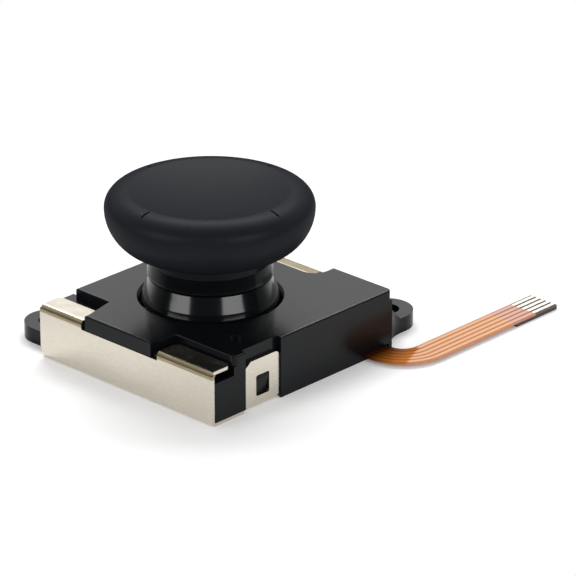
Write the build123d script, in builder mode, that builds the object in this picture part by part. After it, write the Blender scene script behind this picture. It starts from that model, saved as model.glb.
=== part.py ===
from build123d import *
from math import cos, radians, sqrt
import os

os.makedirs("parts", exist_ok=True)

# All sizes are in millimetres. The origin is on the stick's axis at the underside, +Z is up,
# -Y is the side with the folded steel wall and +X the side where the flex circuit leaves.

# Housing block
body_left = -8.7
body_right = 9.1
body_front = -9.1
body_back = 9.92
top_z = 4.8
shoulder_z = 4.0
upper_left = -7.95
top_round = 0.14
slab = 0.6
wall_left = 1.65
wall_right = 1.3
wall_front = 3.55
wall_back = 2.5
sheet = 0.25
sheet_gap = 0.05
sheet_break = 0.16

# Stepped top: the raised nose between the front notches, and the notch at the back
nose_left = -3.9
nose_right = 2.9
nose_bottom = 3.62
notch_left_x = -4.5
notch_left_y = -6.1
notch_right_x = 3.2
notch_right_y = -6.85
back_notch_left = -3.3
back_notch_right = 3.15
back_notch_y = 7.9
back_notch_round = 1.2
corner_round = 0.42
relief_x = 8.2
relief_z = 3.35
dimple_at = (6.95, -4.55)
dimple_r = 0.76
dimple_depth = 0.25

# Screw ears
ear_r = 2.0
ear_t = 1.2
ear_hole_r = 0.95
ear_left_at = (-11.1, -5.8)
ear_back_at = (5.7, 13.08)
ear_flare = 2.5
gusset_top = 3.6
gusset_w = 1.4

# Folded steel
bend_r = 0.38
wall_top = 3.55
tab_left = (-8.6, -4.3)
tab_right = (3.55, 9.0)
tab_left_y = -7.1
tab_right_y = -7.05
tab_corner = 0.45
foot_corner = 1.0
back_tab = (-2.2, 2.1)
back_tab_y = 8.1
latch_y = (-5.6, -2.05)
latch_top = 3.78
latch_depth = 0.43
latch_air = 0.13
latch_chamfer = (0.45, 0.6)
latch_corner = 0.45
relief_w = 0.25
window_y = (-4.45, -3.1)
window_z = (0.87, 2.5)
window_corner = 0.15
nub_gap = 0.08
nub_ledge = 0.24
plate_step = 0.25

# Tilt pivots and travel
pivot_z = 4.0
tilt = 14.0
click_travel = 0.3
run_gap = 0.05
pin_gap = 0.03

# Stick: bell with its closing ring, stem, cap
opening_gap = 0.07
opening_chamfer = 0.24
ring_r = 5.0
ring_z = 5.27
crease_r = 4.6
crease_z = 6.5
rim_r = 4.71
rim_z = 6.72
rim_round = 0.08
neck_r = 4.55
neck_z = 7.8
skirt_foot_z = 4.62
bell_wall = 0.75
bell_roof_z = 7.6
bell_top_z = 8.65
hub_r = 1.4
stud_r = 2.6
stud_top_z = 11.2
stem_r = 0.65
stem_flat = 0.55
stem_top_z = 7.3
spring_bore_r = 0.4
foot_r = 0.95
foot_z = 1.15
foot_t = 0.15
cap_r = 7.75
cap_wide_z = 11.85
cap_crest_r = 6.5
cap_crest_z = 13.25
dish_r = 5.9
dish_edge_z = 13.0
dish_z = 12.8
cap_skirt_r = 6.9
cap_skirt_z = 9.62
cap_neck_r = 4.7
crest_round = 0.4
rim_groove_w = 0.25
rim_groove_length = 1.1
rim_groove_inset = 0.28
rim_groove_drop = 0.34
rim_groove_slope = 26

# Gimbal
cheek_x = 5.45
cheek_t = 0.4
trunnion_r = 0.4
trunnion_end = 6.7
rib_end = 6.75
rib_half_y = 1.3
rib_z = 2.9
rail_y = (1.5, 2.3)
rail_z = (2.55, 3.0)
pivot_ear_r = 0.7
pivot_ear_foot = 1.9
pivot_pin_r = 0.4
lever_r = 1.3
lever_top_z = 4.85
lever_waist_z = 2.8
lever_tail_r = 0.95
ball_r = 1.15
ball_z = 1.75
finger_z = 1.7
finger_r = 0.4
finger_neck = 0.5

# Centering pin, click plate and snap dome
pin_r = 0.35
pin_tip_z = 0.98
pin_head_z = 3.4
spring_wire_r = 0.06
spring_turns = 5
plate_r = 1.9
plate_z = (0.8, 1.25)
plate_arm_w = 1.6
plate_tongue = 0.3
dish_gap = 0.03
dome_r = 1.8
dome_top_z = 0.72
dome_t = 0.06

# Sliders and wipers
slider_z = (0.75, 1.95)
slider_x_half = 3.2
slider_x_y = (5.15, 7.05)
slider_arm_z = 1.5
slider_arm_half = 1.85
slider_y_half = 3.2
slider_y_x = (-6.9, -4.95)
tongue_z = (1.2, 1.6)
tongue_depth = 0.4
ball_gap = 0.04
wiper_t = 0.08
wiper_w = 0.4
wiper_reach = 1.9
touch_gap = 0.01
track_t = 0.03
track_w = 0.5
track_half = 2.6
track_x_y = (5.7, 6.5)
track_y_x = (-6.35, -5.55)

# Flex circuit
film_t = 0.12
tail_centre = (9.4, 10.8)
tail_inner_r = 1.3
tail_w = 2.6
tail_end_y = 23.95
flex_slot_gap = 0.12
trace_count = 5
trace_w = 0.3
trace_pitch = 0.5
trace_t = 0.025
bare_length = 2.45
stiffener_start = 19.3
stiffener_t = 0.25

# Places worked out from the sizes above
wall_face = body_front + sheet
tab_reach = max(tab_left_y, tab_right_y)
cavity_left = body_left + wall_left
cavity_right = body_right - wall_right
cavity_front = body_front + sheet + wall_front
cavity_back = body_back - wall_back
ceiling_z = top_z - slab
film_z = sheet
film_top = film_z + film_t
track_top = film_top + track_t
recess_right = body_right - latch_depth
recess_left = body_left + latch_depth
latch_face_right = body_right - latch_air
latch_face_left = body_left + latch_air
tail_outer_r = tail_inner_r + tail_w
tail_mid_r = tail_inner_r + tail_w / 2
slot_half = ball_r + ball_gap
ball_swing = (pivot_z - ball_z) * radians(tilt)
dish_radius = pivot_z - pin_tip_z + dish_gap
skirt_r = sqrt(ring_r**2 + (ring_z - pivot_z) ** 2)
# The opening clears the skirt with the stick pressed down in the corner of both tilts
corner_cos = cos(radians(tilt)) ** 2
skirt_drop = click_travel * corner_cos
skirt_shift = click_travel * sqrt(1 - corner_cos**2)
opening_top_r = sqrt(skirt_r**2 - (top_z - pivot_z + skirt_drop) ** 2) + skirt_shift + opening_gap
opening_low_r = sqrt(skirt_r**2 - (ceiling_z - pivot_z + skirt_drop) ** 2) + skirt_shift + opening_gap


def span(limits):
    """Length between a pair of limits."""
    return limits[1] - limits[0]


def middle(limits):
    """Point halfway between a pair of limits."""
    return (limits[0] + limits[1]) / 2


def block(x, y, z, mode=Mode.ADD):
    """Box given by its low and high limits along each axis."""
    with Locations((middle(x), middle(y), middle(z))):
        Box(span(x), span(y), span(z), mode=mode)


# Housing: one moulding, a block with a stepped top, open underneath
with BuildPart() as housing:
    block((body_left, body_right), (wall_face, body_back), (sheet, shoulder_z))
    chamfer(housing.edges().filter_by(Axis.X).sort_by(Axis.Y)[:2], sheet_break)
    with BuildSketch(Plane.XY.offset(shoulder_z)) as top_plan:
        with BuildLine():
            Polyline(
                (nose_left, wall_face + sheet_break),
                (nose_right, wall_face + sheet_break),
                (notch_right_x, notch_right_y),
                (body_right, notch_right_y),
                (body_right, body_back),
                (back_notch_right, body_back),
                (back_notch_right, back_notch_y),
                (back_notch_left, back_notch_y),
                (back_notch_left, body_back),
                (upper_left, body_back),
                (upper_left, notch_left_y),
                (notch_left_x, notch_left_y),
                close=True,
            )
        make_face()
        inner_corners = [v for v in top_plan.vertices() if abs(v.Y - back_notch_y) < 0.01]
        fillet(inner_corners, back_notch_round)
        outer_corners = [v for v in top_plan.vertices() if abs(v.X - body_right) < 0.01]
        fillet(outer_corners, corner_round)
    extrude(amount=top_z - shoulder_z)
    # The nose stands over the steel wall and ends flush with it
    block((nose_left, nose_right), (body_front, wall_face + sheet_break), (nose_bottom, top_z))
    fillet(housing.faces().sort_by(Axis.Z)[-1].outer_wire().edges(), top_round)
    # The right notch is deeper at its outer end
    block((relief_x, body_right), (wall_face, notch_right_y), (relief_z, shoulder_z), Mode.SUBTRACT)

    # Screw ear on the left, and the one at the back with its flared root and sloping web
    with BuildSketch():
        with Locations(ear_left_at):
            Circle(ear_r)
        with Locations(((ear_left_at[0] + body_left) / 2, ear_left_at[1])):
            Rectangle(body_left - ear_left_at[0], 2 * ear_r)
    extrude(amount=ear_t)
    with BuildSketch():
        with Locations(ear_back_at):
            Circle(ear_r)
        with BuildLine():
            ear_side = Polyline(
                (body_right, body_back),
                (ear_back_at[0] - ear_r, body_back),
                (ear_back_at[0] - ear_r, ear_back_at[1]),
                (ear_back_at[0] + ear_r, ear_back_at[1]),
                (ear_back_at[0] + ear_r, body_back + ear_flare),
            )
            TangentArc(ear_side @ 1, ear_side @ 0, tangent=(0, -1))
        make_face()
    extrude(amount=ear_t)
    gusset_left = ear_back_at[0] + ear_r - gusset_w
    with BuildSketch(Plane.YZ.offset(gusset_left)):
        with BuildLine():
            gusset_foot = body_back + ear_flare
            Polyline((body_back, ear_t), (gusset_foot, ear_t), (body_back, gusset_top), close=True)
        make_face()
    extrude(amount=body_right - gusset_left)
    with BuildSketch(Plane.XY.offset(ear_t)):
        with BuildLine():
            flare = TangentArc(ear_side @ 1, ear_side @ 0, tangent=(0, -1))
            Polyline(flare @ 1, (body_right, gusset_foot), flare @ 0)
        make_face()
    extrude(amount=gusset_top - ear_t, mode=Mode.SUBTRACT)
    for at in (ear_left_at, ear_back_at):
        with Locations((*at, ear_t / 2)):
            Cylinder(ear_hole_r, 2 * ear_t, mode=Mode.SUBTRACT)

    # Recesses for the two side latches and the wall at the back
    latch_recess_y = (latch_y[0] - sheet_gap, latch_y[1] + sheet_gap)
    block((recess_right, body_right), latch_recess_y, (sheet, top_z), Mode.SUBTRACT)
    block((body_left, recess_left), latch_recess_y, (sheet, top_z), Mode.SUBTRACT)
    back_recess_x = (back_tab[0] - sheet_gap, back_tab[1] + sheet_gap)
    block(back_recess_x, (body_back - sheet, body_back), (0, top_z), Mode.SUBTRACT)
    # Broken edges where the sheet bends round the moulding
    floor_edges = housing.edges().filter_by_position(Axis.Z, sheet - 0.01, sheet + 0.01)
    latch_edges = [e for e in floor_edges.filter_by(Axis.Y) if abs(e.length - span(latch_recess_y)) < 0.01]
    chamfer(latch_edges, sheet_break)
    back_edges = housing.edges().filter_by(Axis.X)
    back_edges = back_edges.filter_by_position(Axis.Y, body_back - sheet - 0.01, body_back - sheet + 0.01)
    chamfer(back_edges.filter_by_position(Axis.Z, 0, shoulder_z + 0.01), sheet_break)

    # Cavity, round opening that follows the bell's skirt, and the blind dimple beside it
    block((cavity_left, cavity_right), (cavity_front, cavity_back), (sheet, ceiling_z), Mode.SUBTRACT)
    with Locations((0, 0, middle((ceiling_z, top_z)))):
        Cone(opening_low_r, opening_top_r, slab, mode=Mode.SUBTRACT)
    rim = housing.edges().filter_by(GeomType.CIRCLE).filter_by_position(Axis.Z, top_z - 0.01, top_z + 0.01)
    chamfer([e for e in rim if abs(e.radius - opening_top_r) < 0.01], opening_chamfer)
    with BuildSketch(Plane.XY.offset(top_z)):
        with Locations(dimple_at):
            Circle(dimple_r)
    extrude(amount=-dimple_depth, mode=Mode.SUBTRACT)

    # Bearing ribs for the rocker's trunnions, open from below
    for side in (-1, 1):
        rib_x = sorted((side * (cheek_x + cheek_t + run_gap), side * rib_end))
        block(rib_x, (-rib_half_y, rib_half_y), (rib_z, ceiling_z))
        seat_x = sorted((side * (cheek_x - run_gap), side * rib_end))
        with BuildSketch(Plane.YZ.offset(seat_x[0])):
            with Locations((0, pivot_z)):
                Circle(trunnion_r + run_gap)
            with Locations((0, (pivot_z + rib_z) / 2)):
                Rectangle(2 * (trunnion_r + run_gap), pivot_z - rib_z)
        extrude(amount=seat_x[1] - seat_x[0], mode=Mode.SUBTRACT)

    # Grooves for the sliders' tongues
    groove_z = (tongue_z[0] - run_gap, tongue_z[1] + run_gap)
    groove_depth = tongue_depth - (slider_y_x[0] - cavity_left) + run_gap
    travel = slider_y_half + ball_swing + run_gap
    block((cavity_left - groove_depth, cavity_left), (-travel, travel), groove_z, Mode.SUBTRACT)
    block((-travel, travel), (cavity_back, cavity_back + groove_depth), groove_z, Mode.SUBTRACT)

    # Upright grooves for the click plate's two tongues
    key_half = plate_arm_w / 2 + run_gap
    key_depth = plate_tongue + run_gap
    key_z = (sheet, plate_z[1] + run_gap)
    block((-key_half, key_half), (cavity_front - key_depth, cavity_front), key_z, Mode.SUBTRACT)
    block((cavity_right, cavity_right + key_depth), (-key_half, key_half), key_z, Mode.SUBTRACT)

    # Low passage for the flex circuit under the right wall
    passage_y = (tail_centre[1] - tail_outer_r - flex_slot_gap, tail_centre[1] - tail_inner_r + flex_slot_gap)
    passage_x = (cavity_right - tail_w, body_right)
    block(passage_x, passage_y, (sheet, film_top + trace_t + flex_slot_gap), Mode.SUBTRACT)

    # Foot of the right wall beside the steel plate, wider under the flex circuit
    foot_x = body_right - plate_step + sheet_gap
    block((foot_x, body_right), (latch_recess_y[1], body_back), (0, sheet))
    block((cavity_right + sheet_gap, body_right), (passage_y[0] + sheet_gap, body_back), (0, sheet))

    # Sloped nubs that the latch windows snap over
    for floor_x, face_x in ((recess_right, latch_face_right), (recess_left, latch_face_left)):
        with BuildSketch(Plane.XZ.offset(-window_y[1] + nub_gap)):
            with BuildLine():
                Polyline(
                    (floor_x, window_z[0] + nub_gap),
                    (face_x, window_z[1] - nub_gap - nub_ledge),
                    (face_x, window_z[1] - nub_gap),
                    (floor_x, window_z[1] - nub_gap),
                    close=True,
                )
            make_face()
        extrude(amount=span(window_y) - 2 * nub_gap)
housing.part.label = "housing"
export_step(housing.part, "parts/housing.step")


# Steel base: one sheet folded up at the front and back, its wings folded over the housing
with BuildPart() as steel_base:
    with BuildSketch(Plane.YZ.offset(body_left)):
        with BuildLine():
            FilletPolyline(
                (tab_reach, shoulder_z + sheet),
                (body_front, shoulder_z + sheet),
                (body_front, 0),
                (body_back, 0),
                (body_back, shoulder_z + sheet),
                (back_tab_y, shoulder_z + sheet),
                radius=bend_r,
            )
            offset(amount=sheet, side=Side.LEFT)
        make_face()
    extrude(amount=body_right - body_left)
    over = shoulder_z + 2 * sheet
    back_bend = body_back - bend_r
    block((body_left, back_tab[0]), (back_bend, body_back), (0, over), Mode.SUBTRACT)
    block((back_tab[1], body_right), (back_bend, body_back), (0, over), Mode.SUBTRACT)
    block((body_left, back_tab[0]), (back_tab_y, body_back), (shoulder_z, over), Mode.SUBTRACT)
    block((back_tab[1], body_right), (back_tab_y, body_back), (shoulder_z, over), Mode.SUBTRACT)
    # Gap between the two front tabs, and the tabs' outer ends
    block((tab_left[1], tab_right[0]), (body_front, tab_reach), (wall_top, over), Mode.SUBTRACT)
    block((body_left, tab_left[0]), (body_front, tab_reach), (shoulder_z, over), Mode.SUBTRACT)
    block((tab_right[1], body_right), (body_front, tab_reach), (shoulder_z, over), Mode.SUBTRACT)
    for tab_x, tab_y in ((tab_left, tab_left_y), (tab_right, tab_right_y)):
        if tab_y < tab_reach:
            block(tab_x, (tab_y, tab_reach), (shoulder_z, over), Mode.SUBTRACT)
    tab_edges = steel_base.edges().filter_by(Axis.Z).filter_by_position(Axis.Z, shoulder_z, over)
    fillet([e for e in tab_edges if e.length < 1.5 * sheet], tab_corner)
    # Rounded foot of the front wall
    with BuildSketch(Plane.XZ.offset(-wall_face)):
        with Locations((body_left + foot_corner / 2, foot_corner / 2)):
            Rectangle(foot_corner, foot_corner)
        with Locations((body_left + foot_corner, foot_corner)):
            Circle(foot_corner, mode=Mode.SUBTRACT)
    extrude(amount=sheet, mode=Mode.SUBTRACT)
    # Plate cut back where the flex circuit leaves, and stepped in beside the latch
    block((cavity_right, body_right), (passage_y[0], body_back), (0, sheet), Mode.SUBTRACT)
    block((body_right - plate_step, body_right), (latch_y[1], passage_y[0]), (0, sheet), Mode.SUBTRACT)
    # Side latches, each with bend reliefs, a chamfered corner and a window
    for side, face_x in ((1, latch_face_right), (-1, latch_face_left)):
        edge_x = body_right if side > 0 else body_left
        root_x = face_x - side * bend_r
        cut_x = sorted((root_x, edge_x))
        block(cut_x, (latch_y[0] - relief_w, latch_y[1] + relief_w), (0, sheet), Mode.SUBTRACT)
        with BuildSketch(Plane.XZ.offset(-latch_y[1])):
            with BuildLine():
                FilletPolyline((root_x - side * sheet, 0), (face_x, 0), (face_x, latch_top), radius=bend_r)
                offset(amount=sheet, side=Side.LEFT if side > 0 else Side.RIGHT)
            make_face()
        extrude(amount=latch_y[1] - latch_y[0])
        window_x = sorted((face_x - side * sheet, face_x))
        block(window_x, window_y, window_z, Mode.SUBTRACT)
        corners = steel_base.edges().filter_by(Axis.X).filter_by_position(Axis.Y, *window_y)
        corners = corners.filter_by_position(Axis.Z, *window_z).filter_by_position(Axis.X, *window_x)
        fillet(corners, window_corner)
        upper = steel_base.edges().filter_by(Axis.X).filter_by_position(Axis.Z, latch_top - 0.01, latch_top + 0.01)
        upper = upper.filter_by_position(Axis.X, window_x[0] - 0.01, window_x[1] + 0.01).sort_by(Axis.Y)
        chamfer(upper[0], latch_chamfer[0], latch_chamfer[1])
        fillet(upper[-1], latch_corner)
steel_base.part.label = "steel_base"
export_step(steel_base.part, "parts/steel_base.step")


# Flex circuit: the laminate covers the floor of the cavity and turns a quarter circle outside
with BuildPart() as flex_circuit:
    with BuildSketch(Plane.XY.offset(film_z)):
        floor_x = (cavity_left + flex_slot_gap, cavity_right - flex_slot_gap)
        floor_y = (cavity_front + flex_slot_gap, cavity_back - flex_slot_gap)
        with Locations(((floor_x[0] + floor_x[1]) / 2, (floor_y[0] + floor_y[1]) / 2)):
            Rectangle(floor_x[1] - floor_x[0], floor_y[1] - floor_y[0])
        with BuildLine():
            tail_foot = tail_centre[1] - tail_outer_r
            tail_root = (cavity_right - tail_w + flex_slot_gap, tail_foot)
            Line(tail_root, (tail_centre[0], tail_foot))
            outer_arc = CenterArc(tail_centre, tail_outer_r, -90, 90)
            Line(outer_arc @ 1, (tail_centre[0] + tail_outer_r, tail_end_y))
            Line((tail_centre[0] + tail_outer_r, tail_end_y), (tail_centre[0] + tail_inner_r, tail_end_y))
            inner_arc = CenterArc(tail_centre, tail_inner_r, -90, 90)
            Line((tail_centre[0] + tail_inner_r, tail_end_y), inner_arc @ 1)
            Line(inner_arc @ 0, (tail_root[0], tail_centre[1] - tail_inner_r))
            Line((tail_root[0], tail_centre[1] - tail_inner_r), tail_root)
        make_face()
    extrude(amount=film_t)
    # The cover film stands up a little over each conductor
    with BuildSketch(Plane.XY.offset(film_top)):
        for number in range(trace_count):
            trace_r = tail_mid_r + (number - (trace_count - 1) / 2) * trace_pitch
            with BuildLine():
                bend = CenterArc(tail_centre, trace_r, -90, 90)
                Line((tail_root[0] + trace_w, tail_centre[1] - trace_r), bend @ 0)
                Line(bend @ 1, (tail_centre[0] + trace_r, tail_end_y - bare_length))
            trace(line_width=trace_w)
    extrude(amount=trace_t)
flex_circuit.part.label = "flex_circuit"
export_step(flex_circuit.part, "parts/flex_circuit.step")


# Bare plated ends of the conductors
with BuildPart() as contact_fingers:
    with BuildSketch(Plane.XY.offset(film_top)):
        with Locations((tail_centre[0] + tail_mid_r, tail_end_y - bare_length / 2)):
            with GridLocations(trace_pitch, 1, trace_count, 1):
                Rectangle(trace_w, bare_length)
    extrude(amount=track_t)
contact_fingers.part.label = "contact_fingers"
export_step(contact_fingers.part, "parts/contact_fingers.step")


# Stiffener under the contact end, which brings the film up to the plug's thickness
with BuildPart() as flex_stiffener:
    tail_x = (tail_centre[0] + tail_inner_r, tail_centre[0] + tail_outer_r)
    block(tail_x, (stiffener_start, tail_end_y), (film_z - stiffener_t, film_z))
flex_stiffener.part.label = "flex_stiffener"
export_step(flex_stiffener.part, "parts/flex_stiffener.step")


# Printed tracks: a resistive strip and its pick-up strip for each slider
with BuildPart() as track_x:
    for at_y in track_x_y:
        with Locations((0, at_y, film_top + track_t / 2)):
            Box(2 * track_half, track_w, track_t)
track_x.part.label = "track_x"
export_step(track_x.part, "parts/track_x.step")

with BuildPart() as track_y:
    for at_x in track_y_x:
        with Locations((at_x, 0, film_top + track_t / 2)):
            Box(track_w, 2 * track_half, track_t)
track_y.part.label = "track_y"
export_step(track_y.part, "parts/track_y.step")


# Snap dome: a thin spherical cap that rests on the film
dome_rise = dome_top_z - film_top
dome_outer = (dome_r**2 + dome_rise**2) / (2 * dome_rise)
dome_centre_z = dome_top_z - dome_outer
with BuildPart() as click_dome:
    with BuildSketch(Plane.XZ):
        with Locations((0, dome_centre_z)):
            Circle(dome_outer)
            Circle(dome_outer - dome_t, mode=Mode.SUBTRACT)
        with Locations((dome_r, film_top + dome_rise)):
            Rectangle(2 * dome_r, 2 * dome_rise, mode=Mode.INTERSECT)
    revolve(axis=Axis.Z)
click_dome.part.label = "click_dome"
export_step(click_dome.part, "parts/click_dome.step")


# Click plate: a dished disc with two arms that are keyed in the housing walls
with BuildPart() as click_plate:
    with BuildSketch(Plane.XY.offset(plate_z[0])):
        Circle(plate_r)
        front_reach = -cavity_front + plate_tongue
        with Locations((0, -front_reach / 2)):
            Rectangle(plate_arm_w, front_reach)
        side_reach = cavity_right + plate_tongue
        with Locations((side_reach / 2, 0)):
            Rectangle(side_reach, plate_arm_w)
    extrude(amount=plate_z[1] - plate_z[0])
    with Locations((0, 0, pivot_z)):
        Sphere(dish_radius, mode=Mode.SUBTRACT)
    with BuildSketch(Plane.XY.offset(dome_top_z + dish_gap)):
        Circle(pin_r)
    extrude(amount=plate_z[0] - dome_top_z - dish_gap)
click_plate.part.label = "click_plate"
export_step(click_plate.part, "parts/click_plate.step")


# Rocker frame: two cheeks with trunnions, joined by two rails that carry the lever's pivots
with BuildPart() as rocker_frame:
    for side in (-1, 1):
        cheek_plane = Plane.YZ.offset(side * cheek_x)
        with BuildSketch(cheek_plane):
            with Locations((0, pivot_z)):
                Circle(trunnion_r)
            with BuildLine():
                Polyline(
                    (-rail_y[1], rail_z[0]),
                    (rail_y[1], rail_z[0]),
                    (rail_y[1], rail_z[1]),
                    (trunnion_r, pivot_z),
                    (-trunnion_r, pivot_z),
                    (-rail_y[1], rail_z[1]),
                    close=True,
                )
            make_face()
        extrude(amount=side * cheek_t)
        with BuildSketch(cheek_plane):
            with Locations((0, pivot_z)):
                Circle(trunnion_r)
        extrude(amount=side * (trunnion_end - cheek_x))
        rail_limits = sorted((side * rail_y[0], side * rail_y[1]))
        block((-cheek_x, cheek_x), rail_limits, rail_z)
        with BuildSketch(Plane.XZ.offset(-side * rail_y[0])):
            with Locations((0, pivot_z)):
                Circle(pivot_ear_r)
            with Locations((0, middle(rail_z))):
                Rectangle(pivot_ear_foot, span(rail_z))
            make_hull()
            with Locations((0, pivot_z)):
                Circle(pivot_pin_r + pin_gap, mode=Mode.SUBTRACT)
        extrude(amount=-side * (rail_y[1] - rail_y[0]))
    # Finger under the left cheek, with the round tip that moves the Y slider
    with BuildSketch(Plane.YZ.offset(-cheek_x - cheek_t)):
        with Locations((0, finger_z)):
            Circle(finger_r)
        with Locations((0, (finger_z + rail_z[1]) / 2)):
            Rectangle(finger_neck, rail_z[1] - finger_z)
    extrude(amount=cheek_t)
rocker_frame.part.label = "rocker_frame"
export_step(rocker_frame.part, "parts/rocker_frame.step")


# Pivot lever: sleeve round the stem, with the ball that moves the X slider
with BuildPart() as pivot_lever:
    with BuildSketch(Plane.XZ):
        ball_foot_z = foot_z + foot_t + pin_gap
        with BuildLine():
            Polyline(
                (0, ball_foot_z),
                (lever_tail_r, ball_foot_z),
                (lever_tail_r, lever_waist_z - (lever_r - lever_tail_r)),
                (lever_r, lever_waist_z),
                (lever_r, lever_top_z),
                (0, lever_top_z),
                close=True,
            )
        make_face()
        with Locations((0, ball_z)):
            Circle(ball_r)
        with Locations((lever_r / 2, (ball_foot_z + lever_top_z) / 2)):
            Rectangle(lever_r, lever_top_z - ball_foot_z, mode=Mode.INTERSECT)
    revolve(axis=Axis.Z)
    with BuildSketch(Plane.XY.offset(ball_foot_z)):
        Circle(stem_r + run_gap)
        Rectangle(2 * (stem_flat + run_gap), 2 * (stem_r + run_gap), mode=Mode.INTERSECT)
    extrude(amount=lever_top_z - ball_foot_z, mode=Mode.SUBTRACT)
    with Locations((0, 0, pivot_z)):
        Cylinder(pivot_pin_r, 2 * lever_r, rotation=(90, 0, 0), mode=Mode.SUBTRACT)
pivot_lever.part.label = "pivot_lever"
export_step(pivot_lever.part, "parts/pivot_lever.step")


# Pivot pins: two short dowels pressed in the lever from either side
with BuildPart() as pivot_pins:
    for side in (-1, 1):
        with BuildSketch(Plane.XZ.offset(-side * (stem_r + run_gap + pin_gap))):
            with Locations((0, pivot_z)):
                Circle(pivot_pin_r)
        extrude(amount=-side * (rail_y[1] - stem_r - run_gap - pin_gap))
pivot_pins.part.label = "pivot_pins"
export_step(pivot_pins.part, "parts/pivot_pins.step")


# Stem: hollow, with two flats so that it can't turn, and a foot that stops it in the lever
spring_roof_z = stem_top_z - spring_bore_r
with BuildPart() as stem:
    with BuildSketch(Plane.XY.offset(foot_z)):
        Circle(foot_r)
    extrude(amount=foot_t)
    with BuildSketch(Plane.XY.offset(foot_z)):
        Circle(stem_r)
        Rectangle(2 * stem_flat, 2 * stem_r, mode=Mode.INTERSECT)
    extrude(amount=stem_top_z - foot_z)
    with BuildSketch(Plane.XY.offset(foot_z)):
        Circle(spring_bore_r)
    extrude(amount=spring_roof_z - foot_z, mode=Mode.SUBTRACT)
stem.part.label = "stem"
export_step(stem.part, "parts/stem.step")


# Centering pin: slides in the stem, its round tip on the click plate's dish
with BuildPart() as centering_pin:
    with BuildSketch(Plane.XZ):
        with Locations((0, pin_tip_z + pin_r)):
            Circle(pin_r)
        with Locations((0, (pin_tip_z + pin_r + pin_head_z) / 2)):
            Rectangle(2 * pin_r, pin_head_z - pin_tip_z - pin_r)
        with Locations((pin_r / 2, (pin_tip_z + pin_head_z) / 2)):
            Rectangle(pin_r, pin_head_z - pin_tip_z, mode=Mode.INTERSECT)
    revolve(axis=Axis.Z)
centering_pin.part.label = "centering_pin"
export_step(centering_pin.part, "parts/centering_pin.step")


# Return spring: between the pin's head and the roof of the stem's bore
spring_r = spring_bore_r - pin_gap - spring_wire_r
spring_low = pin_head_z + spring_wire_r
spring_high = spring_roof_z - spring_wire_r
with BuildPart() as return_spring:
    with BuildLine():
        rise = spring_high - spring_low
        coil = Helix(rise / spring_turns, rise, spring_r, center=(0, 0, spring_low))
    with BuildSketch(Plane(coil @ 0, z_dir=coil % 0)):
        Rectangle(2 * spring_wire_r, 2 * spring_wire_r)
    sweep(is_frenet=True)
return_spring.part.label = "return_spring"
export_step(return_spring.part, "parts/return_spring.step")


# Bell: glossy neck with a ring, a skirt that is part of a sphere about the pivot and closes the
# round opening, and the stud for the cap
skirt_foot_r = sqrt(skirt_r**2 - (skirt_foot_z - pivot_z) ** 2)
skirt_mid_z = (skirt_foot_z + ring_z) / 2
skirt_mid_r = sqrt(skirt_r**2 - (skirt_mid_z - pivot_z) ** 2)
with BuildPart() as stick_bell:
    with BuildSketch(Plane.XZ):
        with BuildLine():
            Polyline(
                (0, bell_roof_z),
                (neck_r - bell_wall, bell_roof_z),
                (skirt_foot_r - bell_wall, skirt_foot_z),
                (skirt_foot_r, skirt_foot_z),
            )
            ThreePointArc((skirt_foot_r, skirt_foot_z), (skirt_mid_r, skirt_mid_z), (ring_r, ring_z))
            Polyline(
                (ring_r, ring_z),
                (crease_r, crease_z),
                (rim_r, rim_z),
                (neck_r, neck_z),
                (neck_r, bell_top_z),
                (stud_r, bell_top_z),
                (stud_r, stud_top_z),
                (0, stud_top_z),
                (0, bell_roof_z),
            )
        make_face()
    revolve(axis=Axis.Z)
    fillet(stick_bell.edges().filter_by_position(Axis.Z, rim_z - 0.01, rim_z + 0.01), rim_round)
    hub_foot_z = lever_top_z + click_travel + run_gap
    with BuildSketch(Plane.XY.offset(hub_foot_z)):
        Circle(hub_r)
        Circle(stem_r, mode=Mode.SUBTRACT)
    extrude(amount=bell_roof_z - hub_foot_z)
stick_bell.part.label = "stick_bell"
export_step(stick_bell.part, "parts/stick_bell.step")


# Thumb cap: soft cap over the stud, with a dished top and four short grooves across its rim
with BuildPart() as thumb_cap:
    with BuildSketch(Plane.XZ):
        with BuildLine():
            Line((0, stud_top_z), (0, dish_z))
            dish = TangentArc((0, dish_z), (dish_r, dish_edge_z), tangent=(1, 0))
            crest = TangentArc((cap_r, cap_wide_z), (cap_crest_r, cap_crest_z), tangent=(0, 1))
            Line(dish @ 1, crest @ 1)
            flank = TangentArc(crest @ 0, (cap_skirt_r, cap_skirt_z), tangent=(0, -1))
            underside = TangentArc(flank @ 1, (cap_neck_r, bell_top_z), tangent=flank % 1)
            Polyline(underside @ 1, (stud_r, bell_top_z), (stud_r, stud_top_z), (0, stud_top_z))
        make_face()
    revolve(axis=Axis.Z)
    fillet(thumb_cap.edges().filter_by_position(Axis.Z, cap_crest_z - 0.01, cap_crest_z + 0.01), crest_round)
    fillet(thumb_cap.edges().filter_by_position(Axis.Z, dish_edge_z - 0.01, dish_edge_z + 0.01), crest_round)
    # The grooves slope down with the outer side of the rim
    with PolarLocations(cap_r - rim_groove_inset - rim_groove_length / 2, 4):
        with Locations(Location((0, 0, cap_crest_z - rim_groove_drop), (0, rim_groove_slope, 0))):
            Box(
                rim_groove_length,
                rim_groove_w,
                cap_crest_z - dish_z,
                align=(Align.CENTER, Align.CENTER, Align.MIN),
                mode=Mode.SUBTRACT,
            )
thumb_cap.part.label = "thumb_cap"
export_step(thumb_cap.part, "parts/thumb_cap.step")


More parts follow.
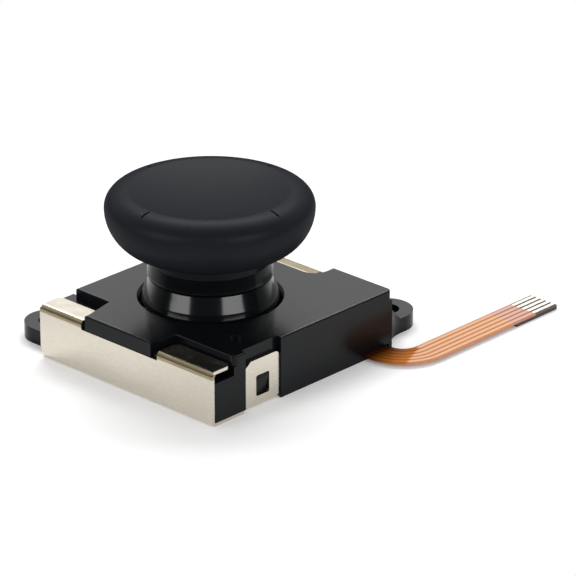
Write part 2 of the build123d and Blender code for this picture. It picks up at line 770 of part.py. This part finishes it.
# X slider: runs along the back wall and reaches over the floor to the lever's ball
with BuildPart() as slider_x:
    block((-slider_x_half, slider_x_half), slider_x_y, slider_z)
    tongue_x = slider_x_half - tongue_depth
    block((-tongue_x, tongue_x), (slider_x_y[1], slider_x_y[1] + tongue_depth), tongue_z)
    slot_end = -ball_swing - ball_r
    arm_end = slot_end - (slider_arm_half - ball_r)
    block((-slider_arm_half, slider_arm_half), (arm_end, slider_x_y[0]), (slider_arm_z, slider_z[1]))
    with BuildSketch(Plane.XY.offset(slider_arm_z)):
        SlotCenterToCenter(2 * (ball_swing + ball_gap), 2 * slot_half, rotation=90)
    extrude(amount=slider_z[1] - slider_arm_z, mode=Mode.SUBTRACT)
slider_x.part.label = "slider_x"
export_step(slider_x.part, "parts/slider_x.step")


# Y slider: runs along the left wall and holds the rocker's finger in a notch
with BuildPart() as slider_y:
    block(slider_y_x, (-slider_y_half, slider_y_half), slider_z)
    tongue_y = slider_y_half - tongue_depth
    block((slider_y_x[0] - tongue_depth, slider_y_x[0]), (-tongue_y, tongue_y), tongue_z)
    notch_x = (-cheek_x - cheek_t - 2 * flex_slot_gap, -cheek_x + 2 * flex_slot_gap)
    notch_half = finger_r + run_gap
    notch_floor = finger_z - finger_r - 2 * flex_slot_gap
    block(notch_x, (-notch_half, notch_half), (notch_floor, slider_z[1]), Mode.SUBTRACT)
slider_y.part.label = "slider_y"
export_step(slider_y.part, "parts/slider_y.step")


# Side view of a wiper: a flat seat under the slider, then a blade bent down to the track
wiper_seat_z = slider_z[0] - wiper_t / 2
wiper_touch_z = track_top + wiper_t / 2 + touch_gap
wiper_side = [(-wiper_reach, wiper_seat_z), (0, wiper_seat_z), (wiper_reach, wiper_touch_z)]


# Wipers: thin sprung blades under the sliders, two for each
with BuildPart() as wiper_x:
    for at_y in track_x_y:
        with BuildSketch(Plane.XZ.offset(-at_y - wiper_w / 2)):
            with BuildLine():
                Polyline(*wiper_side)
            trace(line_width=wiper_t)
        extrude(amount=wiper_w)
    block((-wiper_reach, -wiper_reach / 2), track_x_y, (slider_z[0] - wiper_t, slider_z[0]))
wiper_x.part.label = "wiper_x"
export_step(wiper_x.part, "parts/wiper_x.step")

with BuildPart() as wiper_y:
    for at_x in track_y_x:
        with BuildSketch(Plane.YZ.offset(at_x - wiper_w / 2)):
            with BuildLine():
                Polyline(*wiper_side)
            trace(line_width=wiper_t)
        extrude(amount=wiper_w)
    block(track_y_x, (-wiper_reach, -wiper_reach / 2), (slider_z[0] - wiper_t, slider_z[0]))
wiper_y.part.label = "wiper_y"
export_step(wiper_y.part, "parts/wiper_y.step")
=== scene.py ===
from math import cos, pi, radians, sin
import bmesh
import bpy
from mathutils import Matrix, Vector


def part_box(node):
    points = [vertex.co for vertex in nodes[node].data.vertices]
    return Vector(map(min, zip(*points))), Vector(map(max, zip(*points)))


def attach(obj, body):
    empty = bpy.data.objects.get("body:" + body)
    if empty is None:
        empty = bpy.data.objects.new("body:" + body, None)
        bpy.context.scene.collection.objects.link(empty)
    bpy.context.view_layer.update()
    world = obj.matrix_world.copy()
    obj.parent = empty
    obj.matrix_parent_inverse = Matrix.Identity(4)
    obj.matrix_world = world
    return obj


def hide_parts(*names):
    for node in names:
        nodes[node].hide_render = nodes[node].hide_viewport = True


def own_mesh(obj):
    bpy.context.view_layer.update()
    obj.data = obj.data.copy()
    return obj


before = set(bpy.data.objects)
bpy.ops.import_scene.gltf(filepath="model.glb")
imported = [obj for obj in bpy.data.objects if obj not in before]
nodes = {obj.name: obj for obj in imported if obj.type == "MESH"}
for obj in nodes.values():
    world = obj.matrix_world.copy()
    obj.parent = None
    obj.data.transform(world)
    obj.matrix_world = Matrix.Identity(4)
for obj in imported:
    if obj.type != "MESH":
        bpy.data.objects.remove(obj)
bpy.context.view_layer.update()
mm = 0.001


# Camera: a long lens, so that parallel edges stay nearly parallel.
# It looks down on the corner between the steel wall and the side latch.
view_turn = radians(43.6)
view_rise = radians(23.5)
view_distance = 300 * mm
view_across = 5.712 * mm
view_up = 4.859 * mm
lens = 252.7
clip_near = 0.05
clip_far = 5.0
back = Vector((sin(view_turn) * cos(view_rise), -cos(view_turn) * cos(view_rise), sin(view_rise)))
right = Vector((cos(view_turn), sin(view_turn), 0))
up = back.cross(right)
stand = back * view_distance + right * view_across + up * view_up
camera = bpy.data.objects.new("camera", bpy.data.cameras.new("camera"))
bpy.context.scene.collection.objects.link(camera)
camera.data.lens = lens
camera.data.clip_start = clip_near
camera.data.clip_end = clip_far
camera.matrix_world = Matrix.Translation(stand) @ Matrix((right, up, back)).transposed().to_4x4()
bpy.context.scene.camera = camera
bpy.context.scene.view_settings.view_transform = "Standard"


# Floor: a white sheet of paper under the module, which keeps its soft shadow.
# It glows faintly for the lens and in reflections, and fades out into the white backdrop.
class Value:
    """A socket of a finish, on which Python's operators add Math nodes."""

    def __init__(self, finish, socket):
        self.finish = finish
        self.socket = socket

    def math(self, operation, *others):
        """A Math node on this value and any others."""
        values = (self, *others)
        return self.finish.add("ShaderNodeMath", {"operation": operation}, dict(enumerate(values)))

    def __add__(self, other):
        return self.math("ADD", other)

    __radd__ = __add__

    def __mul__(self, other):
        return self.math("MULTIPLY", other)

    __rmul__ = __mul__

    def __sub__(self, other):
        return self.math("SUBTRACT", other)

    def __rsub__(self, other):
        return (self * -1.0) + other

    def __gt__(self, other):
        return self.math("GREATER_THAN", other)

    def __lt__(self, other):
        return self.math("LESS_THAN", other)


class Finish:
    """The nodes of one material or of the room's light."""

    noise_low = 0.3
    noise_high = 0.7

    def __init__(self, name, owner=None):
        self.owner = owner or bpy.data.materials.new(name)
        self.owner.use_nodes = True
        self.tree = self.owner.node_tree
        self.shader = self.tree.nodes.get("Principled BSDF")

    def add(self, kind, settings=None, sockets=None, output=0):
        """One node, from its type, its settings and the values or links of its sockets."""
        node = self.tree.nodes.new(kind)
        for name, setting in (settings or {}).items():
            setattr(node, name, setting)
        self.connect(node, sockets or {})
        return Value(self, node.outputs[output])

    def connect(self, node, sockets):
        """Links or sets a node's sockets."""
        for name, value in sockets.items():
            if isinstance(value, Value):
                self.tree.links.new(value.socket, node.inputs[name])
            else:
                node.inputs[name].default_value = value

    def place(self, scale=(1.0, 1.0, 1.0)):
        """Object coordinates, stretched by a scale for each axis."""
        at = self.add("ShaderNodeTexCoord", output="Object")
        return self.add("ShaderNodeMapping", None, {"Vector": at, "Scale": scale})

    def part(self, vector, axis):
        """The X, Y or Z of a vector."""
        return self.add("ShaderNodeSeparateXYZ", None, {0: vector}, axis)

    def along(self, axis):
        """How far a point lies along one axis, in metres."""
        return self.part(self.place(), axis)

    def noise(self, size, detail=3.0, scale=(1.0, 1.0, 1.0)):
        """Noise from 0 to 1 with features of about that size."""
        sockets = {"Vector": self.place(scale), "Scale": 1 / size, "Detail": detail}
        return self.add("ShaderNodeTexNoise", None, sockets, "Fac")

    def blend(self, factor, first, second):
        """Colour between two colours, by the Mix node's sockets 6 and 7 and its output 2."""
        sockets = {"Factor": factor, 6: first, 7: second}
        return self.add("ShaderNodeMix", {"data_type": "RGBA"}, sockets, 2)

    def ramp(self, value, low, high, out_low=0.0, out_high=1.0):
        """A value stretched from one range to another and held at its ends."""
        sockets = {"Value": value, 1: low, 2: high, 3: out_low, 4: out_high}
        return self.add("ShaderNodeMapRange", None, sockets)

    def spread(self, noise, low, high):
        """A number that a noise moves between two ends, over the range that it mostly fills."""
        return self.ramp(noise, self.noise_low, self.noise_high, low, high)

    def bump(self, height, depth):
        """A surface normal that follows a height in units of depth metres."""
        return self.add("ShaderNodeBump", None, {"Height": height, "Distance": depth, "Strength": 1.0})

    def seen(self):
        """1 for the lens and for what glossy or clear surfaces show, and 0 for other light."""
        rays = ("Is Camera Ray", "Is Glossy Ray", "Is Transmission Ray")
        from_lens, glossy, clear = (self.add("ShaderNodeLightPath", output=ray) for ray in rays)
        return from_lens + glossy + clear

    def surface(self, **sockets):
        """Sets the shader's sockets, named in lower case with underscores."""
        for name, value in sockets.items():
            self.connect(self.shader, {name.replace("_", " ").title().replace("Ior", "IOR"): value})


def link(name, mesh):
    """A new object of the scene that holds a finished mesh."""
    piece = bpy.data.objects.new(name, mesh)
    bpy.context.scene.collection.objects.link(piece)
    return piece


black = (0, 0, 0, 1)
white = (1, 1, 1, 1)
paper_radius = 0.12
paper_middle = (0, 8 * mm, 0)
paper_full = 24 * mm
paper_gone = 42 * mm
paper_fibre = 2 * mm
paper_low = (0.93, 0.93, 0.93, 1)
paper_high = (0.95, 0.95, 0.95, 1)
paper_glow = 0.11
floor_mesh = bpy.data.meshes.new("floor")
form = bmesh.new()
bmesh.ops.create_circle(form, cap_ends=True, segments=96, radius=paper_radius)
form.to_mesh(floor_mesh)
form.free()
floor = link("floor", floor_mesh)
paper = Finish("paper")
ends = {0: paper.place(), 1: paper_middle}
reach = paper.add("ShaderNodeVectorMath", {"operation": "DISTANCE"}, ends, "Value")
paper.surface(base_color=paper.blend(paper.noise(paper_fibre), paper_low, paper_high),
              roughness=0.95, specular_ior_level=0.1,
              alpha=paper.ramp(reach, paper_full, paper_gone, 1.0, 0.0),
              emission_color=paper.blend(paper.seen(), black, white), emission_strength=paper_glow)
floor_mesh.materials.append(paper.owner)


# Studio light: the even light of a white room, with two softboxes in front of the corner and a
# brighter one overhead. In glossy surfaces the room is dim along the horizon, where its walls meet
# the floor, and dark on the lens side.
room_light = 0.57
horizon_light = 0.2
lens_side_light = 0.13
lens_side_from = -0.3
lens_side_to = 0.15
wall_foot = 0.08
wall_head = 0.3
ground_far = -0.04
ground_near = -0.12
lamp_distance = 0.5
lamp_aim = Vector((0, 0, 7 * mm))
room = Finish("room", bpy.data.worlds.new("room"))
bpy.context.scene.world = room.owner
direction = room.add("ShaderNodeTexCoord", output="Generated")
lens_side = {0: direction, 1: right.cross(Vector((0, 0, 1)))}
towards_lens = room.add("ShaderNodeVectorMath", {"operation": "DOT_PRODUCT"}, lens_side, "Value")
climb = room.part(direction, "Z")
walls = room.ramp(climb, wall_foot, wall_head, horizon_light, 1.0)
ground = room.ramp(climb, ground_near, ground_far, 1.0, horizon_light)
mirrored = room.ramp(towards_lens, lens_side_from, lens_side_to, 1.0, lens_side_light)
mirrored = mirrored * walls.math("MAXIMUM", ground)
backdrop = room.add("ShaderNodeLightPath", output="Is Camera Ray").math("MAXIMUM", mirrored)
seen = room.seen()
strength = (1 - seen) * room_light + seen * backdrop
room.connect(room.tree.nodes["Background"], {"Color": white, "Strength": strength})


def softbox(name, turn, rise, width, height, power):
    """An area light that faces the stick from a direction round it."""
    lamp = bpy.data.lights.new(name, "AREA")
    lamp.shape = "RECTANGLE"
    lamp.size = width
    lamp.size_y = height
    lamp.energy = power
    turn = radians(turn)
    rise = radians(rise)
    towards = Vector((sin(turn) * cos(rise), -cos(turn) * cos(rise), sin(rise)))
    facing = towards.to_track_quat("Z", "Y").to_matrix().to_4x4()
    holder = bpy.data.objects.new(name, lamp)
    bpy.context.scene.collection.objects.link(holder)
    holder.matrix_world = Matrix.Translation(towards * lamp_distance + lamp_aim) @ facing


softbox("left_softbox", turn=-9, rise=16, width=0.32, height=0.18, power=0.78)
softbox("right_softbox", turn=83, rise=16, width=0.32, height=0.18, power=0.78)
softbox("overhead", turn=222, rise=50, width=0.36, height=0.17, power=1.55)


# Housing: one black moulding, which the frame gives, with a fine semi-gloss skin. It shows the
# faint waviness and grain of the tool's face, and is glossier on the faces that point up than on
# its walls.
skin_grain = 0.05 * mm
skin_wave = 3 * mm
grain_share = 0.3
wave_share = 0.7
skin_relief = 0.004 * mm
skin_dark = (0.0030, 0.0036, 0.0046, 1)
skin_light = (0.0045, 0.0052, 0.0064, 1)
skin_roughness = (0.17, 0.25)
wall_lean = 0.2
top_lean = 0.8
wall_polish = 0.07
top_polish = 0.42
moulding = Finish("black_moulding")
grain = moulding.noise(skin_grain, detail=2.0)
wave = moulding.noise(skin_wave)
facing_up = moulding.part(moulding.add("ShaderNodeNewGeometry", output="Normal"), "Z")
moulding.surface(base_color=moulding.blend(wave, skin_dark, skin_light),
                 roughness=moulding.spread(grain, *skin_roughness), specular_ior_level=0.12,
                 coat_weight=moulding.ramp(facing_up, wall_lean, top_lean, wall_polish, top_polish),
                 coat_roughness=0.19,
                 normal=moulding.bump(wave * wave_share + grain * grain_share, skin_relief))


def dress(finish, *names):
    """Gives frame nodes a finish."""
    for name in names:
        mesh = nodes[name].data
        mesh.materials.clear()
        mesh.materials.append(finish.owner)


dress(moulding, "housing")


# Steel base: thin nickel-plated sheet, cut and folded up over the housing and onto its latches.
# The plating is bright and a little warm, with faint rolling lines. Along the bends at the top of the
# front and back walls a dark brown band is painted in, as a painted dark reflection of the room.
bend_low = 3.64 * mm
bend_high = 4.6 * mm
bend_low_fade = 0.1 * mm
bend_high_fade = 0.04 * mm
bend_face = 8.85 * mm
# Painted dark reflection: the brown colour of the band along the bends.
bend_reflection_colour = (0.30, 0.245, 0.145, 1)
streak_from = 0.3
streak_to = 0.6
streak_least = 0.75
rolling_line = 0.08 * mm
rolling_stretch = (0.06, 0.06, 1.0)
rolling_relief = 0.001 * mm
plating_cloud = 4 * mm
plating_roughness = (0.20, 0.30)
nickel_dark = (0.64, 0.595, 0.51, 1)
nickel_light = (0.69, 0.645, 0.555, 1)
plating = Finish("nickel_plating")
height = plating.along("Z")
rolled = plating.noise(rolling_line, scale=rolling_stretch)
# Painted dark reflection: a band along the bends at the top of the front and back walls, streaked by the
# rolling lines.
bend_reflection_mask = plating.ramp(height, bend_low, bend_low + bend_low_fade)
bend_reflection_mask = bend_reflection_mask * plating.ramp(height, bend_high, bend_high + bend_high_fade, 1, 0)
bend_reflection_mask = bend_reflection_mask * (plating.along("Y").math("ABSOLUTE") > bend_face)
bend_reflection_mask = bend_reflection_mask * plating.ramp(rolled, streak_from, streak_to, streak_least, 1)
sheet = plating.blend(plating.noise(plating_cloud), nickel_dark, nickel_light)
plating.surface(base_color=plating.blend(bend_reflection_mask, sheet, bend_reflection_colour), metallic=1.0,
                roughness=plating.spread(rolled, *plating_roughness),
                normal=plating.bump(rolled, rolling_relief))
dress(plating, "steel_base")


# Flex circuit: glossy amber film over copper, with five conductors along its tail. Each conductor
# stands up a little under the cover film and shows lighter. From where it leaves the housing up to the
# fold, the film has painted shade of the housing's wall, darkest at the wall, and is duller; it is pink
# over the stiffener and dark between the bare contacts.
film_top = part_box("track_x")[0][2]
trace_low = film_top + 0.005 * mm
trace_high = film_top + 0.02 * mm
mottle_size = 1.5 * mm
film_relief = 0.01 * mm
film_amber = ((0.48, 0.165, 0.052, 1), (0.55, 0.20, 0.068, 1))
trace_amber = ((0.78, 0.39, 0.18, 1), (0.84, 0.44, 0.21, 1))
# Painted shade colours for the film and its conductors between the housing and the fold, darkest at the
# housing's wall.
film_shaded = ((0.035, 0.008, 0.002, 1), (0.46, 0.135, 0.012, 1))
trace_shaded = ((0.07, 0.016, 0.003, 1), (0.60, 0.22, 0.05, 1))
film_pink = (0.42, 0.16, 0.09, 1)
trace_pink = (0.72, 0.40, 0.29, 1)
film_bare = (0.045, 0.033, 0.026, 1)
root_x = 9.4 * mm
root_shade_fade = 2.2 * mm
shaded_trace_contrast = 0.5
shaded_polish = 0.12
amber_polish = 1.0
fold_from = 15.45 * mm
fold_to = 15.75 * mm
fold_lean = 0.42
straight_from = 10.6 * mm
straight_to = 10.9 * mm
pink_fade = 0.5 * mm
pink_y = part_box("flex_stiffener")[0][1] - pink_fade
bare_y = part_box("contact_fingers")[0][1]
film = Finish("amber_film")
along_x = film.along("X")
along_y = film.along("Y")
over_trace = film.ramp(film.along("Z"), trace_low, trace_high)
mottle = film.noise(mottle_size)
amber = film.blend(over_trace, film.blend(mottle, *film_amber), film.blend(mottle, *trace_amber))
# Painted shade: darkest where the film leaves the housing's wall, lighter away from it, and kept up to the
# fold.
past_root_shade = film.ramp(along_x, root_x, root_x + root_shade_fade)
shaded_film = film.blend(over_trace * shaded_trace_contrast, film.blend(past_root_shade, *film_shaded),
                  film.blend(past_root_shade, *trace_shaded))
past_fold = film.ramp(along_x + along_y * fold_lean, fold_from, fold_to)
past_fold = past_fold.math("MAXIMUM", film.ramp(along_y, straight_from, straight_to))
backed = film.blend(over_trace, film_pink, trace_pink)
tail = film.blend(film.ramp(along_y, pink_y, pink_y + pink_fade), amber, backed)
covered = film.blend(past_fold, shaded_film, tail)
film.surface(base_color=film.blend(along_y > bare_y, covered, film_bare),
             roughness=0.5, specular_ior_level=0.0,
             coat_weight=film.ramp(past_fold, 0, 1, shaded_polish, amber_polish), coat_roughness=0.14,
             normal=film.bump(mottle, film_relief))
dress(film, "flex_circuit")


# Contact fingers: the bare ends of the five conductors, plated with tin.
# They lie side by side on the film, where the stiffener backs it for a connector.
def grained(name, size, dark, light, roughness, relief, metallic=0.0, **pattern):
    """A finish whose colour, roughness and relief follow one fine noise."""
    finish = Finish(name)
    noise = finish.noise(size, **pattern)
    finish.surface(base_color=finish.blend(noise, dark, light), metallic=metallic,
                   roughness=finish.spread(noise, *roughness), normal=finish.bump(noise, relief))
    return finish


tin = grained("tin_plating", size=0.2 * mm, dark=(0.76, 0.71, 0.62, 1), light=(0.84, 0.79, 0.70, 1),
              roughness=(0.25, 0.38), relief=0.002 * mm, metallic=1.0)
dress(tin, "contact_fingers")


# Stiffener: a dark backing strip, glued under the end of the tail.
# It makes the end stiff and thick enough for its connector.
backing = grained("dark_backing", size=0.3 * mm, dark=(0.030, 0.014, 0.010, 1),
                  light=(0.050, 0.022, 0.015, 1), roughness=(0.38, 0.5), relief=0.004 * mm)
dress(backing, "flex_stiffener")


# Resistive tracks: carbon ink, printed on the film under the two sliders.
# The cured ink is matt and slightly rough.
carbon = grained("carbon_ink", size=0.08 * mm, dark=(0.012, 0.012, 0.013, 1),
                 light=(0.03, 0.03, 0.032, 1), roughness=(0.6, 0.8), relief=0.006 * mm)
dress(carbon, "track_x", "track_y")


# Spring parts: the pivot pins, the coil in the stem and the snap dome are bright drawn steel.
# The dome lies loose under the click plate; in the real module its top is pressed flatter as the
# stick clicks and its rim stays where it is. Here it is one welded mesh, held on the case.
bright = grained("bright_steel", size=0.05 * mm, dark=(0.60, 0.60, 0.60, 1),
                 light=(0.72, 0.72, 0.71, 1), roughness=(0.18, 0.3), relief=0.001 * mm,
                 metallic=1.0, detail=2.0, scale=(1.0, 1.0, 0.1))
dress(bright, "pivot_pins", "return_spring")
weld = 0.001 * mm
form = bmesh.new()
form.from_mesh(nodes["click_dome"].data)
bmesh.ops.remove_doubles(form, verts=form.verts[:], dist=weld)
dome_mesh = bpy.data.meshes.new("snap_dome")
form.to_mesh(dome_mesh)
form.free()
dome_mesh.materials.append(bright.owner)
dome = link("snap_dome", dome_mesh)
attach(dome, "case")
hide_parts("click_dome")
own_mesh(dome)


# Gimbal and sliders: the rocker, sleeve, stem, pin, sliders and click plate are natural acetal.
# They are moulded white and slick, and slide and turn in each other inside the housing.
acetal = grained("natural_acetal", size=0.6 * mm, dark=(0.66, 0.66, 0.63, 1),
                 light=(0.74, 0.74, 0.70, 1), roughness=(0.3, 0.42), relief=0.004 * mm)
dress(acetal, "rocker_frame", "pivot_lever", "stem", "centering_pin", "slider_x", "slider_y", "click_plate")


# Wipers: thin sprung blades of copper alloy.
# Each is held under its slider and rubs on its printed track.
alloy = grained("copper_alloy", size=0.1 * mm, dark=(0.70, 0.50, 0.24, 1),
                light=(0.80, 0.60, 0.32, 1), roughness=(0.2, 0.35), relief=0.001 * mm, metallic=1.0)
dress(alloy, "wiper_x", "wiper_y")


# Bell: the stick's neck with the ring above the round opening, moulded in black and fixed on the
# stem. The ring is glossy up to its rim, and the neck above it is duller.
rim_low = 6.62 * mm
rim_high = 6.92 * mm
ring_polish = 0.9
neck_polish = 0.12
ripple_size = 2 * mm
ripple_relief = 0.003 * mm
bell_dark = (0.0015, 0.0022, 0.0028, 1)
bell_light = (0.0025, 0.0032, 0.004, 1)
bell_roughness = (0.16, 0.24)
gloss = Finish("gloss_black")
ripple = gloss.noise(ripple_size)
height = gloss.along("Z")
gloss.surface(base_color=gloss.blend(ripple, bell_dark, bell_light),
              roughness=gloss.spread(ripple, *bell_roughness), specular_ior_level=0.06,
              coat_weight=gloss.ramp(height, rim_low, rim_high, ring_polish, neck_polish),
              coat_roughness=0.13, normal=gloss.bump(ripple, ripple_relief))
dress(gloss, "stick_bell")


# Thumb cap: soft charcoal rubber with a fine matt skin, moulded over the bell's stud. A broad round
# rim stands above a dished top, and four short slots cross the rim. Its section is drawn in arcs
# and turned round the axis, and the slots are sunk into it.
dish_z = 12.55 * mm
dish_r = 5.93 * mm
dish_lean = radians(12.5)
crest_radius = 0.45 * mm
shoulder_radius = 2.22 * mm
shoulder_lean = radians(-30)
brow_radius = 1.225 * mm
flank_radius = 3.35 * mm
flank_turn = radians(-41.7)
underside_radius = 2.9 * mm
underside_turn = radians(-48.6)
stud_r = 2.6 * mm
stud_z = 11.2 * mm
cap_foot_z = 8.65 * mm
cap_steps = 160
slot_near = 6.12 * mm
slot_far = 7.0 * mm
slot_half = 0.08 * mm
slot_deep = 0.2 * mm
slot_margin = 0.5 * mm
slot_cuts = ((slot_near, (1, 0, 0)), (slot_far, (1, 0, 0)), (slot_half, (0, 1, 0)), (slot_half, (0, -1, 0)))
sharp_angle = radians(35)


def bend(form, end, heading, turn, radius, steps):
    """Carries a section on from its end by an arc, to the left where the turn is positive."""
    side = radius if turn > 0 else -radius
    middle = end.co + side * Vector((-sin(heading), 0, cos(heading)))
    arc = bmesh.ops.spin(form, geom=[end], cent=middle, axis=(0, -1, 0), angle=turn, steps=steps)
    return arc["geom_last"][0], heading + turn


def run(form, end, across, height):
    """Carries a section on from its end by a straight line."""
    far = bmesh.ops.extrude_vert_indiv(form, verts=[end])["verts"][0]
    far.co = (across, 0, height)
    return far


form = bmesh.new()
end = form.verts.new((0, 0, dish_z))
heading = 0
end, heading = bend(form, end, heading, dish_lean, dish_r / sin(dish_lean), steps=12)
end, heading = bend(form, end, heading, -dish_lean, crest_radius, steps=5)
end, heading = bend(form, end, heading, shoulder_lean, shoulder_radius, steps=8)
end, heading = bend(form, end, heading, -pi / 2 - shoulder_lean, brow_radius, steps=10)
end, heading = bend(form, end, heading, flank_turn, flank_radius, steps=9)
end, heading = bend(form, end, heading, underside_turn, underside_radius, steps=9)
end = run(form, end, stud_r, cap_foot_z)
end = run(form, end, stud_r, stud_z)
end = run(form, end, 0, stud_z)
bmesh.ops.spin(form, geom=form.verts[:] + form.edges[:], cent=(0, 0, 0), axis=(0, 0, 1),
               angle=2 * pi, steps=cap_steps, use_merge=True)
bmesh.ops.remove_doubles(form, verts=form.verts[:], dist=weld)
bmesh.ops.recalc_face_normals(form, faces=form.faces[:])


def rim_faces(form, near, far, half):
    """The faces of the cap's top whose middles lie in a strip along the X axis."""
    middles = [(face, face.calc_center_median()) for face in form.faces]
    return [face for face, middle in middles
            if near < middle.x < far and abs(middle.y) < half and middle.z > stud_z]


for quarter in range(4):
    for distance, across in slot_cuts:
        patch = rim_faces(form, slot_near - slot_margin, slot_far + slot_margin, slot_margin)
        edges = dict.fromkeys(edge for face in patch for edge in face.edges)
        corners = dict.fromkeys(corner for face in patch for corner in face.verts)
        bmesh.ops.bisect_plane(form, geom=[*patch, *edges, *corners],
                               plane_co=Vector(across) * distance, plane_no=across)
    slot = rim_faces(form, slot_near, slot_far, slot_half)
    sunk = bmesh.ops.extrude_face_region(form, geom=slot)["geom"]
    sunk = [item for item in sunk if isinstance(item, bmesh.types.BMVert)]
    bmesh.ops.delete(form, geom=slot, context="FACES")
    bmesh.ops.translate(form, verts=sunk, vec=(0, 0, -slot_deep))
    bmesh.ops.rotate(form, verts=form.verts[:], cent=(0, 0, 0), matrix=Matrix.Rotation(pi / 2, 3, "Z"))
for face in form.faces:
    face.smooth = True
for edge in form.edges:
    edge.smooth = edge.calc_face_angle(0) < sharp_angle
cap_mesh = bpy.data.meshes.new("rubber_cap")
form.to_mesh(cap_mesh)
form.free()
cap = link("rubber_cap", cap_mesh)

pore_size = 0.12 * mm
bloom_size = 5 * mm
rubber_dark = (0.0085, 0.0102, 0.0135, 1)
rubber_light = (0.0115, 0.0134, 0.017, 1)
rubber_roughness = (0.42, 0.52)
rubber_sheen = (0.14, 0.20)
rubber_relief = 0.03 * mm
pore_share = 0.3
flash_share = 0.6
parting_z = 10.4 * mm
flash_full = 0.02 * mm
flash_gone = 0.05 * mm
rubber = Finish("charcoal_rubber")
pores = rubber.noise(pore_size, detail=4.0)
bloom = rubber.noise(bloom_size)
from_parting = (rubber.along("Z") - parting_z).math("ABSOLUTE")
flash = rubber.ramp(from_parting, flash_full, flash_gone, 1, 0)
rubber.surface(base_color=rubber.blend(bloom, rubber_dark, rubber_light),
               roughness=rubber.spread(pores, *rubber_roughness), specular_ior_level=0.0,
               coat_weight=rubber.spread(pores, *rubber_sheen), coat_roughness=0.42,
               normal=rubber.bump(pores * pore_share + flash * flash_share, rubber_relief))
cap_mesh.materials.append(rubber.owner)
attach(cap, "stick")
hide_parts("thumb_cap")
